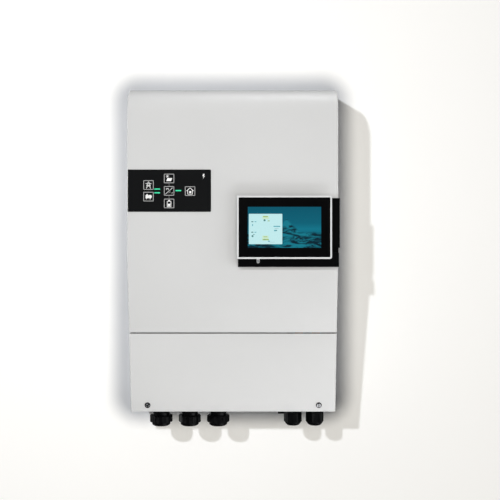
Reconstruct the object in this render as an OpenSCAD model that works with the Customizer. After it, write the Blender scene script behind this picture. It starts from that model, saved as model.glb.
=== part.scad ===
// Wall-mounted three-phase hybrid inverter with a hook-on wall plate, a two-part
// sheet-metal casing, a wiring compartment with cable glands, a rear cooling duct
// and a seven-inch touch display on a side bracket.
//
// Frame: X to the right, Y towards the wall, Z up. The wall is the plane Y = 0 and
// the case stands in front of it, at negative Y. The origin is the centre of the
// wall plate's four fixing holes. "u" below is the distance in front of the wall.

/* [Case] */
// Width over the covers
case_w = 450; // [440:1:470]
// Height of the covers, without the glands
case_h = 732; // [720:1:760]
// Distance from the wall to the front, in the upper half
depth_top = 228; // [224:1:236]
// Distance from the wall to the front at the bottom edge
depth_bottom = 171; // [168:1:176]
// Height of the bend in the front, from the middle of the case
knee_z = -26; // [-40:1:-16]
// Radius of that bend
knee_r = 500; // [300:50:600]
// Fall of the top towards the front, in degrees
top_slope = 9.4; // [6:0.2:11]
// Radius of the top front edge
top_r = 55; // [40:1:60]
// Free gap between the wall and the back of the case
wall_gap = 14; // [14:0.5:16]

/* [Covers] */
// Sheet thickness of the two covers
cover_t = 1.6; // [1.2:0.1:2]
// Height of the joint between the covers, from the middle of the case
seam_z = -190; // [-194:1:-186]
// Width of that joint
seam_gap = 2.5; // [2:0.1:3]
// Distance of the lock screws from the middle
lock_x = 188; // [180:1:195]
// Height of the lock screws above the bottom edge
lock_rise = 14.7; // [13:0.1:16]

/* [Status panel] */
// Width of the status panel
status_w = 177; // [160:1:180]
// Height of the status panel
status_h = 90; // [80:1:96]
// Height of its middle
status_z = 115.5; // [100:0.5:130]

/* [Glands] */
// Distance of the gland row from the wall
gland_u = 140; // [136:0.5:141]
// Pitch of the three large glands
big_pitch = 63.7; // [60:0.1:66]
// Pitch of the two smaller glands
small_pitch = 48.8; // [44:0.1:50]
// Bore of a large gland's seal
big_bore = 28; // [22:1:28]
// Bore of a smaller gland's seal
small_bore = 21; // [16:1:21]

/* [Display] */
// Width of the display's front
display_w = 199.7; // [190:0.1:202]
// Height of the display's front
display_h = 132.8; // [128:0.1:136]
// Middle of the display, to the right of the case's middle
display_x = 109.3; // [105:0.1:112]
// Height of the display's middle
display_z = 37; // [30:0.5:44]

/* [Fans] */
// Side of a fan's frame
fan_size = 70; // [60:1:70]
// Distance between fan centres
fan_pitch = 120; // [90:1:130]

/* [Wall plate] */
// Distance between the fixing holes, sideways
hole_dx = 300; // [240:5:320]
// Distance between the fixing holes, upwards
hole_dz = 400; // [300:5:420]
// Diameter of a fixing hole
hole_d = 9; // [6:0.5:11]

/* [Hidden] */
$fn = 48;

// Case outline
half_w = case_w / 2;
top_z = case_h / 2;
bottom_z = -case_h / 2;
lean = atan((depth_top - depth_bottom) / (knee_z - bottom_z));
corner_z = top_z - (depth_top - wall_gap) * tan(top_slope);
upper_z0 = seam_z + seam_gap / 2 - 0.25;
lower_z1 = seam_z - seam_gap / 2 - 0.25;

// Chassis: a sheet box inside the covers
wall_t = 2;
fit_gap = 0.4;
chassis_w = half_w - cover_t - fit_gap;
inside_w = chassis_w - wall_t;
plate_t = 3;
floor_z = bottom_z + 4;
shelf_z = -202;
partition_top = 345;
frame_inset = 8.6;
frame_t = 1.5;
window_w = inside_w - 14;
window_z0 = floor_z + 18;
window_z1 = -220;

// Cooling duct
sink_u0 = 92;
sink_u1 = 100;
sink_w = 206;
wall_u = 102;
sink_z0 = -168;
sink_z1 = 300;
fin_pitch = 12;
fin_t = 3;
fin_u0 = 24;
fan_u = 55;
fan_t = 25;
fan_z = floor_z + plate_t;
fan_bore = 33;
motor_r = 14;
fan_xs = [for (i = [-1:1]) i * fan_pitch];

// Boards and what stands on them
board_t = 1.6;
power_u = 112;
power_w = 195;
power_z0 = -150;
power_z1 = 150;
control_u = 190;
led_board_u = 219;
status_x = -half_w + 2 + status_w / 2;
cap_xs = [for (i = [0:4]) -168 + i * 42];
cap_zs = [84, 124];
choke_xs = [-140, -55, 30];
choke_z = 20;
trafo_xs = [96, 158];
trafo_zs = [20, 100];
relay_xs = [for (i = [0:5]) -170 + i * 36];
module_xs = [-125, 0, 125];

// Wiring compartment
block_u1 = 140;
block_z0 = -296;
block_z1 = -252;
big_xs = [for (i = [0:2]) -161.6 + i * big_pitch];
small_xs = [for (i = [0:1]) 132.7 + i * small_pitch];
pv_x = 50;
pole_pitch = 11.6;
busbar_xs = [148, 186];
battery_z = -266;
earth_z = -232;
comm_x = 103;
signal_x = 123;
signal_u = 107.8;
signal_w = 46;

// Cover hinge and locks
hinge_z = lower_z1 - 12;
hinge_u = face_u(hinge_z, 5.5);
hinge_r = 1.55;
hinge_ear_r = 3.6;
front_z1 = hinge_z + hinge_ear_r;
shank_r = 3;
fit = 0.05;
lock_z = bottom_z + lock_rise;
lock_head_r = 6.3;

// Display
bracket_u = 234;
bracket_t = 2;
bracket_x0 = 11.5;
bracket_x1 = 224.3;
bracket_z0 = -46.5;
bracket_z1 = 99.3;
flange_z0 = -6;
flange_x = half_w + 0.3;
ledge_z1 = -16;
ledge_u1 = 246.5;
display_u0 = 247;
display_u1 = 251.5;
rim = 3.6;
stud_xs = [62, 156];
stud_z = 62;
display_lift = 12;
tab_x = 54;
tab_z = -34;

// ---------------------------------------------------------------- outline

// Distance of the leaning lower front from the wall at height z, t inside the face
function face_u(z, t) = depth_top - (knee_z - z) * tan(lean) - t / cos(lean);

// Height of the sloping top at distance u, t under its face
function roof_z(u, t) = top_z - (u - wall_gap) * tan(top_slope) - t / cos(top_slope);

// Points of an arc in the side view
function arc(centre, r, a0, a1, steps) =
    [for (i = [0:steps]) let (a = a0 + (a1 - a0) * i / steps)
        centre + r * [cos(a), sin(a)]];

// Side view of the case as points [u, z], t inside its faces, from height z0 up
// and from the distance u0 forwards
function case_side(t, z0, u0) = concat(
    [[u0, z0], [face_u(z0, t), z0]],
    arc([depth_top - knee_r, knee_z + knee_r * tan(lean / 2)], knee_r - t, -lean, 0, 10),
    arc([depth_top - top_r, corner_z - top_r * tan((90 - top_slope) / 2)],
        top_r - t, 0, 90 - top_slope, 20),
    [[u0, roof_z(u0, t)]]);

// Band of the leaning lower front between two insets and two heights
function face_band(t0, t1, z0, z1) =
    [[face_u(z0, t1), z0], [face_u(z0, t0), z0], [face_u(z1, t0), z1], [face_u(z1, t1), z1]];

// ---------------------------------------------------------------- helpers

// Block between two corners given as x, u and z
module slab(x0, x1, u0, u1, z0, z1) {
    translate([x0, -u1, z0]) cube([x1 - x0, u1 - u0, z1 - z0]);
}

// Side view, as points [u, z], drawn out from x0 to x1
module side_solid(points, x0, x1) {
    translate([x0, 0, 0]) rotate([90, 0, 90]) linear_extrude(x1 - x0)
        polygon([for (p = points) [-p[0], p[1]]]);
}

// Cylinder along Y from distance u0 forwards to u1
module peg(x, z, u0, u1, r) {
    translate([x, -u0, z]) rotate([90, 0, 0]) cylinder(h = u1 - u0, r = r);
}

// Cylinder along X from x0 to x1
module axle(x0, x1, u, z, r) {
    translate([x0, -u, z]) rotate([0, 90, 0]) cylinder(h = x1 - x0, r = r);
}

// Hexagonal prism along Z, from z0 to z1, of the given width across flats
module hex_prism(x, u, z0, z1, flats, turn = 0) {
    translate([x, -u, z0]) rotate([0, 0, turn])
        cylinder(h = z1 - z0, r = flats / 2 / cos(30), $fn = 6);
}

// Upright cylinder from z0 to z1
module post(x, u, z0, z1, r) {
    translate([x, -u, z0]) cylinder(h = z1 - z0, r = r);
}

// Rectangle about its middle with rounded corners, left and right radii apart
module round_rect(w, h, r_left, r_right) {
    for (s = [-1, 1]) {
        translate([-w / 2 + r_left, s * (h / 2 - r_left)]) circle(r_left);
        translate([w / 2 - r_right, s * (h / 2 - r_right)]) circle(r_right);
    }
    polygon([
        [-w / 2 + r_left, -h / 2], [w / 2 - r_right, -h / 2],
        [w / 2, -h / 2 + r_right], [w / 2, h / 2 - r_right],
        [w / 2 - r_right, h / 2], [-w / 2 + r_left, h / 2],
        [-w / 2, h / 2 - r_left], [-w / 2, -h / 2 + r_left]]);
}

// Flat shape in the front view, drawn out from distance u0 forwards to u1
module front_solid(x, z, u0, u1) {
    translate([x, -u0, z]) rotate([90, 0, 0]) linear_extrude(u1 - u0) children();
}

// Children's Z axis points straight out of the leaning front at a lock screw
module at_lock(side) {
    translate([side * lock_x, -face_u(lock_z, 0), lock_z])
        rotate([90 + lean, 0, 0]) children();
}

// ---------------------------------------------------------------- wall side

module wall_plate() {
    plate_w = 180;
    plate_z = 235;
    hooks = [[-150, -60], [60, 150]];
    color("silver") {
        difference() {
            slab(-plate_w, plate_w, 0, 3, -plate_z, plate_z);
            for (sx = [-1, 1], sz = [-1, 1])
                peg(sx * hole_dx / 2, sz * hole_dz / 2, -1, 4, hole_d / 2);
            for (sz = [-1, 1])
                slab(-110, 110, -1, 4, sz > 0 ? 40 : -160, sz > 0 ? 160 : -40);
        }
        for (sx = [-1, 1])
            slab(sx > 0 ? plate_w - 3 : -plate_w, sx > 0 ? plate_w : -plate_w + 3,
                3, 9, -plate_z, plate_z);
        for (h = hooks) {
            slab(h[0], h[1], 3, 8.5, plate_z - 3, plate_z);
            slab(h[0], h[1], 6, 8.5, plate_z, plate_z + 18);
        }
    }
}

module hanger_rails() {
    lip_z = 253.3;
    color("silver") for (sx = [-1, 1]) {
        x0 = sx > 0 ? 55 : -155;
        slab(x0, x0 + 100, 11.5, wall_gap, lip_z - 12, lip_z + 30);
        slab(x0, x0 + 100, 3.4, 11.5, lip_z, lip_z + 2.5);
        slab(x0, x0 + 100, 3.4, 5.6, lip_z - 15, lip_z);
    }
}

module wall_buffers() {
    color("dimgray") for (sx = [-1, 1]) {
        peg(sx * 60, -205, 3.4, wall_gap, 9);
        peg(sx * 60, -205, 9, wall_gap, 12);
    }
}

// ---------------------------------------------------------------- chassis

module chassis() {
    rail_u = 110;
    under_roof = cover_t + fit_gap;
    band_z1 = -209;
    frame_face = frame_inset - frame_t;
    wall_side = [
        [wall_gap, floor_z], [face_u(floor_z, frame_face), floor_z],
        [face_u(band_z1, frame_face), band_z1], [face_u(band_z1, frame_inset), band_z1],
        [face_u(front_z1, frame_inset), front_z1], [rail_u, front_z1],
        [rail_u, roof_z(rail_u, under_roof)], [wall_gap, roof_z(wall_gap, under_roof)]];
    color("gainsboro") difference() {
        union() {
            slab(-chassis_w, chassis_w, wall_gap, wall_gap + wall_t, floor_z,
                roof_z(wall_gap + wall_t, under_roof));
            side_solid(wall_side, -chassis_w, -inside_w);
            side_solid(wall_side, inside_w, chassis_w);
            for (x0 = [-chassis_w, inside_w]) {
                axle(x0, x0 + wall_t, hinge_u, hinge_z, hinge_ear_r);
                slab(x0, x0 + wall_t, hinge_u - 9, hinge_u, hinge_z - hinge_ear_r, front_z1);
            }
            difference() {
                side_solid(face_band(frame_face, frame_inset, floor_z, band_z1),
                    -chassis_w, chassis_w);
                side_solid(face_band(0, 2 * frame_inset, window_z0, window_z1),
                    -window_w, window_w);
            }
        }
        for (side = [-1, 1])
            at_lock(side) translate([0, 0, -20]) cylinder(h = 22, r = 4);
        for (side = [-1, 1])
            axle(side * half_w - 6, side * half_w + 6, hinge_u, hinge_z, hinge_r);
        for (side = [-1, 1], z = [-110, 90, 290])
            axle(side * half_w - 6, side * half_w + 6, 34, z, 2);
    }
}

module gland_plate() {
    color("gainsboro") difference() {
        slab(-inside_w, inside_w, wall_gap + wall_t, face_u(floor_z, frame_inset),
            floor_z, floor_z + plate_t);
        for (x = big_xs) post(x, gland_u, floor_z - 1, fan_z + 1, 20.1);
        for (x = small_xs) post(x, gland_u, floor_z - 1, fan_z + 1, 16.1);
        for (x = fan_xs) post(x, fan_u, floor_z - 1, fan_z + 1, fan_bore);
        slab(signal_x - 18, signal_x + 18, signal_u - 5.6, signal_u + 5.6,
            floor_z - 1, fan_z + 1);
    }
}

module partition() {
    shelf_u1 = 186;
    color("lightgray") difference() {
        union() {
            slab(-inside_w, inside_w, sink_u1, wall_u, fan_z, partition_top);
            slab(-inside_w, inside_w, wall_u, shelf_u1, shelf_z, shelf_z + 2);
        }
        for (x = module_xs) slab(x - 55, x + 55, sink_u1 - 1, wall_u + 1, -131, -67);
        for (x = busbar_xs)
            slab(x - 13, x + 13, wall_u + 6, wall_u + 24, shelf_z - 1, shelf_z + 3);
        for (x = [-150, -60, 30, 100]) post(x, 150, shelf_z - 1, shelf_z + 3, 11);
    }
}

module cover_gasket() {
    color("dimgray") difference() {
        side_solid(face_band(cover_t + 0.3, frame_inset - frame_t, floor_z, -211),
            -chassis_w + 2, chassis_w - 2);
        side_solid(face_band(0, 2 * frame_inset, floor_z + 8, -219),
            -chassis_w + 10, chassis_w - 10);
        for (side = [-1, 1])
            at_lock(side) translate([0, 0, -20]) cylinder(h = 22, r = 7);
    }
}

module hinge_pins() {
    color("silver") for (side = [-1, 1]) {
        x0 = side > 0 ? inside_w - 3 : -half_w + 0.1;
        axle(x0, x0 + half_w - inside_w + 2.9, hinge_u, hinge_z, hinge_r - fit);
        axle(side > 0 ? inside_w - 3 : -inside_w, side > 0 ? inside_w : -inside_w + 3,
            hinge_u, hinge_z, hinge_ear_r - 0.3);
    }
}

// ---------------------------------------------------------------- covers

module upper_cover() {
    vent_pitch = 14;
    color("whitesmoke") difference() {
        side_solid(case_side(0, upper_z0, wall_gap), -half_w, half_w);
        side_solid(case_side(cover_t, upper_z0 - 1, wall_gap - 1),
            -half_w + cover_t, half_w - cover_t);
        slab(status_x - status_w / 2 + 7.5, status_x + status_w / 2 - 7.5,
            depth_top - 10, depth_top + 1,
            status_z - status_h / 2 + 7.5, status_z + status_h / 2 - 7.5);
        for (i = [-14:14])
            slab(i * vent_pitch - 3, i * vent_pitch + 3, 28, 92, top_z - 40, top_z + 2);
        for (side = [-1, 1], z = [-110, 90, 290])
            axle(side * half_w - 6, side * half_w + 6, 34, z, 2);
        for (z = [20, 76]) axle(half_w - 6, half_w + 6, 198, z, 2.5);
    }
}

// Button-head screws through the sides of the upper cover into the chassis
module upper_cover_screws() {
    color("silver") for (side = [-1, 1], z = [-110, 90, 290]) difference() {
        union() {
            axle(side > 0 ? half_w : -half_w - 1.8, side > 0 ? half_w + 1.8 : -half_w,
                34, z, 4);
            axle(side > 0 ? half_w - 8 : -half_w, side > 0 ? half_w : -half_w + 8,
                34, z, 2);
        }
        translate([side > 0 ? half_w + 0.8 : -half_w - 1.9, -34, z]) rotate([0, 90, 0])
            cylinder(h = 1.1, r = 1.5, $fn = 6);
    }
}

module lower_cover() {
    color("whitesmoke") difference() {
        side_solid([
            [wall_gap, bottom_z], [face_u(bottom_z, 0), bottom_z],
            [face_u(lower_z1, 0), lower_z1], [wall_gap, lower_z1]], -half_w, half_w);
        side_solid([
            [wall_gap - 1, bottom_z - 1], [face_u(bottom_z - 1, cover_t), bottom_z - 1],
            [face_u(lower_z1 + 1, cover_t), lower_z1 + 1], [wall_gap - 1, lower_z1 + 1]],
            -half_w + cover_t, half_w - cover_t);
        for (side = [-1, 1]) {
            at_lock(side) translate([0, 0, -5]) cylinder(h = 10, r = shank_r + fit);
            axle(side * half_w - 6, side * half_w + 6, hinge_u, hinge_z, hinge_r);
        }
    }
}

module screw_retainers() {
    color("dimgray") for (side = [-1, 1]) at_lock(side)
        translate([0, 0, -cover_t - 1.5]) difference() {
            cylinder(h = 1.5, r = 6);
            translate([0, 0, -1]) cylinder(h = 4, r = shank_r + fit);
        }
}

// Captive quarter-turn screw; the slot shows how far it is turned
module cover_screw(side, turn) {
    color("gray") at_lock(side) rotate([0, 0, turn]) difference() {
        union() {
            translate([0, 0, fit]) cylinder(h = 1.2 - fit, r = lock_head_r);
            translate([0, 0, 1.2]) cylinder(h = 1.2, r1 = lock_head_r, r2 = lock_head_r - 1);
            translate([0, 0, -13]) cylinder(h = 14, r = shank_r);
        }
        translate([-lock_head_r, -0.8, 1.1]) cube([2 * lock_head_r, 1.6, 2]);
        translate([0, 0, 1.1]) cylinder(h = 2, r = 2.2);
    }
}

module cover_screw_left() { cover_screw(-1, 35); }

module cover_screw_right() { cover_screw(1, 90); }

// ---------------------------------------------------------------- cooling

module heat_sink() {
    fins = floor(sink_w / fin_pitch);
    color("silver") {
        slab(-sink_w, sink_w, sink_u0, sink_u1, sink_z0, sink_z1);
        for (i = [-fins:fins])
            slab(i * fin_pitch - fin_t / 2, i * fin_pitch + fin_t / 2,
                fin_u0, sink_u0, sink_z0, sink_z1);
    }
}

// Fan frame seen from above: square with a round opening and four screw holes
module fan_outline() {
    corner = fan_size / 2 - 4.5;
    difference() {
        square(fan_size, center = true);
        circle(fan_bore);
        for (sx = [-1, 1], sy = [-1, 1]) translate([sx * corner, sy * corner]) circle(2.1);
    }
}

// Motor carrier on three arms
module fan_carrier() {
    circle(motor_r);
    for (a = [30:120:270]) rotate(a) translate([0, -2]) square([fan_bore + 0.5, 4]);
}

module fan_frames() {
    carrier_t = 3;
    color("dimgray") for (x = fan_xs) translate([x, -fan_u, fan_z]) {
        linear_extrude(fan_t - carrier_t) fan_outline();
        translate([0, 0, fan_t - carrier_t]) linear_extrude(carrier_t) {
            fan_outline();
            fan_carrier();
        }
        translate([0, 0, fan_t - carrier_t - 12]) cylinder(h = 12, r = 1.5);
    }
}

module fan_guards() {
    wire = 1;
    reach = 30.5 * sqrt(2);
    color("dimgray") for (x = fan_xs) translate([x, -fan_u, floor_z - 2 * wire]) {
        for (r = [9, 17, 25, 33]) difference() {
            cylinder(h = 2 * wire, r = r + wire);
            translate([0, 0, -1]) cylinder(h = 2 * wire + 2, r = r - wire);
        }
        for (a = [45:90:315]) rotate([0, 0, a]) difference() {
            union() {
                translate([8.5, -wire, 0.3]) cube([reach - 8.5, 2 * wire, 2 * wire - 0.6]);
                translate([reach, 0, 0]) cylinder(h = 2 * wire, r = 3.4);
            }
            translate([reach, 0, -1]) cylinder(h = 4, r = 1.8);
        }
    }
}

module fan_impeller(x) {
    hub_z = fan_z + 2;
    hub_h = fan_t - 6.5;
    color("black") translate([x, -fan_u, hub_z]) difference() {
        union() {
            cylinder(h = hub_h, r = motor_r);
            intersection() {
                translate([0, 0, 1]) cylinder(h = hub_h - 2, r = fan_bore - 1.5);
                for (a = [0:360 / 7:359]) rotate([0, 0, a]) translate([12, 0, hub_h / 2])
                    rotate([38, 0, 0]) translate([0, -14, -1]) cube([24, 28, 2]);
            }
        }
        translate([0, 0, 6]) cylinder(h = hub_h, r = 1.55);
    }
}

// ---------------------------------------------------------------- electronics

module power_board() {
    color("darkgreen") difference() {
        slab(-power_w, power_w, power_u, power_u + 2, power_z0, power_z1);
        for (x = [-185, 0, 185], z = [power_z0 + 8, power_z1 - 8])
            peg(x, z, power_u - 1, power_u + 3, 1.6);
    }
}

module power_modules() {
    color("dimgray") for (x = module_xs) {
        slab(x - 54, x + 54, sink_u1, power_u, -130, -68);
    }
}

module dc_capacitors() {
    color("midnightblue") for (x = cap_xs, z = cap_zs) {
        peg(x, z, power_u + 2, power_u + 48, 17.5);
        peg(x, z, power_u + 48, power_u + 49, 15);
    }
}

module filter_chokes() {
    color("peru") for (x = choke_xs) translate([x, -power_u - 15, choke_z])
        rotate([90, 0, 0]) rotate_extrude() translate([24, 0]) circle(13, $fn = 32);
}

module transformers() {
    color("darkslategray") for (x = trafo_xs, z = trafo_zs) {
        slab(x - 26, x + 26, power_u + 2, power_u + 44, z - 30, z + 30);
        slab(x - 16, x + 16, power_u + 44, power_u + 50, z - 24, z + 24);
    }
}

module relays() {
    color("black") for (x = relay_xs)
        slab(x - 14, x + 14, power_u + 2, power_u + 28, -136, -106);
}

module control_board() {
    color("darkgreen") slab(status_x - 84, status_x + 84, control_u, control_u + board_t,
        20, 190);
}

module control_parts() {
    u0 = control_u + board_t;
    color("black") {
        for (x = [-206, -170, -134, -98]) slab(x, x + 24, u0, u0 + 11, 26, 36);
        slab(-170, -142, u0, u0 + 3, 90, 118);
        slab(-110, -90, u0, u0 + 2.5, 96, 116);
        for (i = [0:3]) slab(-200 + i * 12, -192 + i * 12, u0, u0 + 2, 140, 146);
        for (z = [150, 168]) peg(-80, z, u0, u0 + 12, 5);
    }
}

module board_spacers() {
    color("khaki") {
        for (x = [-185, 0, 185], z = [power_z0 + 8, power_z1 - 8])
            peg(x, z, wall_u, power_u, 4);
        for (x = [-188, -60]) peg(x, 184, wall_u, control_u, 4);
        for (x = [-188, -97.5]) peg(x, 52, power_u + 2, control_u, 3);
        for (sx = [-1, 1], z = [86, 145])
            peg(status_x + sx * 74, z, control_u + board_t, led_board_u, 3);
    }
}

module led_panel() {
    color([0.09, 0.09, 0.09]) {
        front_solid(status_x, status_z, depth_top, depth_top + 1)
            round_rect(status_w, status_h, 1, 2.4);
        slab(status_x - status_w / 2 + 8, status_x + status_w / 2 - 8,
            depth_top - 3, depth_top,
            status_z - status_h / 2 + 8, status_z + status_h / 2 - 8);
    }
}

module led_board() {
    color("darkgreen") slab(status_x - 78, status_x + 78, led_board_u,
        led_board_u + board_t, status_z - 36, status_z + 36);
}

// Light guides from the board to the back of the status panel
module led_lamps() {
    guides = [[-26, 3.5], [-26, -4.5], [18.9, 0.2]];
    color("mediumseagreen") for (g = guides)
        slab(status_x + g[0] - 7, status_x + g[0] + 7, led_board_u + board_t,
            depth_top - 3, status_z + g[1] - 1.2, status_z + g[1] + 1.2);
}

// ---------------------------------------------------------------- wiring

module dc_busbars() {
    color("peru") for (x = busbar_xs) difference() {
        slab(x - 9, x + 9, power_u + 2, power_u + 6, battery_z - 14, -120);
        peg(x, battery_z, power_u, power_u + 8, 5.2);
    }
}

module battery_block() {
    color("black") difference() {
        slab(124, 212, wall_u, power_u + 2, battery_z - 22, battery_z + 22);
        for (x = busbar_xs) peg(x, battery_z, power_u - 6, power_u + 3, 5.2);
    }
    color("black") slab(165.5, 168.5, power_u + 2, power_u + 22,
        battery_z - 22, battery_z + 22);
}

module battery_bolts() {
    color("silver") for (x = busbar_xs) {
        peg(x, battery_z, power_u - 5, power_u + 24, 5);
        difference() {
            peg(x, battery_z, power_u + 6, power_u + 8, 9);
            peg(x, battery_z, power_u + 5, power_u + 9, 5);
        }
        translate([x, -power_u - 8, battery_z]) rotate([90, 0, 0]) difference() {
            cylinder(h = 8, r = 8.5 / cos(30), $fn = 6);
            translate([0, 0, -1]) cylinder(h = 10, r = 5);
        }
    }
}

// Row of screw clamps with wire funnels from below and screw wells in the front
module terminal_row(x, poles) {
    half = poles * pole_pitch / 2;
    difference() {
        union() {
            slab(x - half, x + half, wall_u, block_u1, block_z0, block_z1 - 12);
            slab(x - half, x + half, wall_u, block_u1 - 10, block_z1 - 12, block_z1);
        }
        for (i = [0:poles - 1]) {
            px = x - half + (i + 0.5) * pole_pitch;
            post(px, 126, block_z0 - 1, block_z0 + 18, 4.4);
            peg(px, block_z0 + 22, block_u1 - 9, block_u1 + 1, 3.6);
        }
    }
}

module ac_terminals() {
    color("lightgray") for (x = big_xs) terminal_row(x, 5);
}

module pv_terminals() {
    color("darkorange") terminal_row(pv_x, 4);
}

module clamp_screw(x, z, u, r) {
    difference() {
        peg(x, z, u, u + 3, r);
        slab(x - r - 1, x + r + 1, u + 2, u + 4, z - 0.5, z + 0.5);
    }
}

module clamp_screws() {
    rows = [for (x = big_xs) [x, 5], [pv_x, 4]];
    color("silver") {
        for (row = rows, i = [0:row[1] - 1])
            clamp_screw(row[0] + (i + 0.5 - row[1] / 2) * pole_pitch, block_z0 + 22,
                block_u1 - 9, 3.5);
        for (i = [0:8]) clamp_screw(-176 + i * 26, earth_z, 119, 4);
    }
}

module earth_bar() {
    color("goldenrod") {
        slab(-190, 46, 111, 119, earth_z - 5, earth_z + 5);
        for (x = [-163, 19]) slab(x - 6, x + 6, wall_u, 111, earth_z - 5, earth_z + 5);
    }
}

module comm_board() {
    color("darkgreen") slab(comm_x - 19, comm_x + 19, 108, 108 + board_t, -300, -214);
    color("khaki") for (z = [-294, -220]) peg(comm_x, z, wall_u, 108, 3);
}

// Four modular jacks, opening downwards
module comm_jacks() {
    u0 = 108 + board_t;
    color("black") for (sx = [-1, 1], row = [0, 1]) {
        x = comm_x + sx * 9.2;
        z = -290 + row * 36;
        difference() {
            slab(x - 8, x + 8, u0, u0 + 14, z, z + 20);
            slab(x - 6, x + 6, u0 + 2.5, u0 + 11, z - 1, z + 14);
        }
    }
}

// ---------------------------------------------------------------- glands

// Sizes of a gland: thread radius, flats, neck radius, bore radius of the seal,
// depth of the hexagon's and the neck's lower ends, of the cap nut's top and
// shoulder, radius of the nut's round nose, depth of the nose's edge and of its
// end, and the radius of that end
big_gland = [19.9, 44, 18.4, big_bore / 2, 371, 388, 378.8, 394.5, 20.2, 398.9, 401.8, 16.6];
small_gland = [15.9, 35.5, 14.6, small_bore / 2, 369.5, 386, 371.8, 394, 17.4, 396, 401, 12.6];

module gland_body(x, g) {
    difference() {
        union() {
            post(x, gland_u, floor_z, fan_z + 13, g[0]);
            hex_prism(x, gland_u, -g[4], floor_z, g[1], 10);
            post(x, gland_u, -g[5], -g[4], g[2]);
        }
        post(x, gland_u, -g[5] - 1, fan_z + 14, g[3] + 0.5);
    }
}

module gland_locknut(x, g) {
    difference() {
        hex_prism(x, gland_u, fan_z, fan_z + 6, g[1] + 2, 0);
        post(x, gland_u, fan_z - 1, fan_z + 7, g[0] + 0.1);
    }
}

module gland_seal(x, g) {
    difference() {
        post(x, gland_u, -g[10] + 3.8, -g[5], g[2] - 0.5);
        post(x, gland_u, -g[10] + 2.8, -g[5] + 1, g[3]);
    }
}

module gland_nut(x, g, turn) {
    corner = g[1] / 2 / cos(30);
    color([0.05, 0.05, 0.05]) difference() {
        union() {
            intersection() {
                hex_prism(x, gland_u, -g[7], -g[6], g[1], turn);
                union() {
                    post(x, gland_u, -g[7] + 1.4, -g[6] + 1, g[1]);
                    translate([x, -gland_u, -g[7] + 1.4]) rotate([180, 0, 0])
                        cylinder(h = 2, r1 = corner + 0.1, r2 = corner - 1.6);
                }
            }
            translate([x, -gland_u, 0]) rotate_extrude() polygon([
                [0, -g[10]], [g[11], -g[10]], [g[8], -g[9]], [g[8], -g[7] + 2],
                [0, -g[7] + 2]]);
        }
        post(x, gland_u, -g[10] + 3.4, -g[6] + 1, g[2] + 0.3);
        post(x, gland_u, -g[10] - 1, -g[10] + 4, g[3] + 0.5);
    }
}

module gland_bodies_m40() {
    color([0.05, 0.05, 0.05]) for (x = big_xs) gland_body(x, big_gland);
}

module gland_bodies_m32() {
    color([0.05, 0.05, 0.05]) for (x = small_xs) gland_body(x, small_gland);
}

module gland_locknuts() {
    color("dimgray") {
        for (x = big_xs) gland_locknut(x, big_gland);
        for (x = small_xs) gland_locknut(x, small_gland);
    }
}

module gland_seals() {
    color("dimgray") {
        for (x = big_xs) gland_seal(x, big_gland);
        for (x = small_xs) gland_seal(x, small_gland);
    }
}

// Split frame for signal cables, with four soft membranes
module signal_entry() {
    color([0.05, 0.05, 0.05]) difference() {
        union() {
            slab(signal_x - signal_w / 2, signal_x + signal_w / 2,
                signal_u - 10.9, signal_u + 10.9, floor_z - 19.5, floor_z);
            slab(signal_x - 17.8, signal_x + 17.8, signal_u - 5.4, signal_u + 5.4,
                floor_z, fan_z + 5);
        }
        for (i = [-1:1])
            post(signal_x + i * 11.5, signal_u, floor_z - 23, fan_z + 6, 4.6);
    }
}

module signal_grommets() {
    color("dimgray") for (i = [-1:1]) difference() {
        post(signal_x + i * 11.5, signal_u, floor_z - 18, floor_z - 4, 4.6);
        post(signal_x + i * 11.5, signal_u, floor_z - 16, floor_z - 3, 3.2);
    }
}

// ---------------------------------------------------------------- display

module display_bracket() {
    u0 = bracket_u;
    u1 = bracket_u + bracket_t;
    color([0.03, 0.03, 0.03]) difference() {
        union() {
            slab(bracket_x0, bracket_x1, u0, u1, ledge_z1, bracket_z1);
            slab(bracket_x1, flange_x + 2, u0, u1, flange_z0, bracket_z1);
            slab(flange_x, flange_x + 2, 180, u1, flange_z0, bracket_z1);
            difference() {
                slab(bracket_x0, bracket_x1, depth_top + 0.4, ledge_u1,
                    bracket_z0, ledge_z1);
                slab(bracket_x0 + 2, bracket_x1 - 2, depth_top - 1, ledge_u1 - 2,
                    bracket_z0 + 2, ledge_z1 - 2);
            }
        }
        for (x = stud_xs) {
            slab(x - 2.4, x + 2.4, u0 - 1, u1 + 1, stud_z, stud_z + display_lift);
            peg(x, stud_z, u0 - 1, u1 + 1, 2.4);
            peg(x, stud_z + display_lift, u0 - 1, u1 + 1, 4.8);
        }
        slab(tab_x - 1.9, tab_x + 1.9, ledge_u1 - 3, ledge_u1 + 1,
            tab_z, tab_z + display_lift);
        peg(tab_x, tab_z, ledge_u1 - 3, ledge_u1 + 1, 1.9);
        peg(tab_x, tab_z + display_lift, ledge_u1 - 3, ledge_u1 + 1, 1.9);
        for (z = [20, 76]) axle(flange_x - 1, flange_x + 3, 198, z, 2.6);
    }
}

module bracket_screws() {
    color("black") for (z = [20, 76]) difference() {
        union() {
            axle(flange_x + 2, flange_x + 3.6, 198, z, 4.6);
            axle(half_w - 7, flange_x + 2, 198, z, 2.45);
        }
        translate([flange_x + 2.6, -198, z]) rotate([0, 90, 0])
            cylinder(h = 2, r = 1.7, $fn = 6);
    }
}

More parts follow.
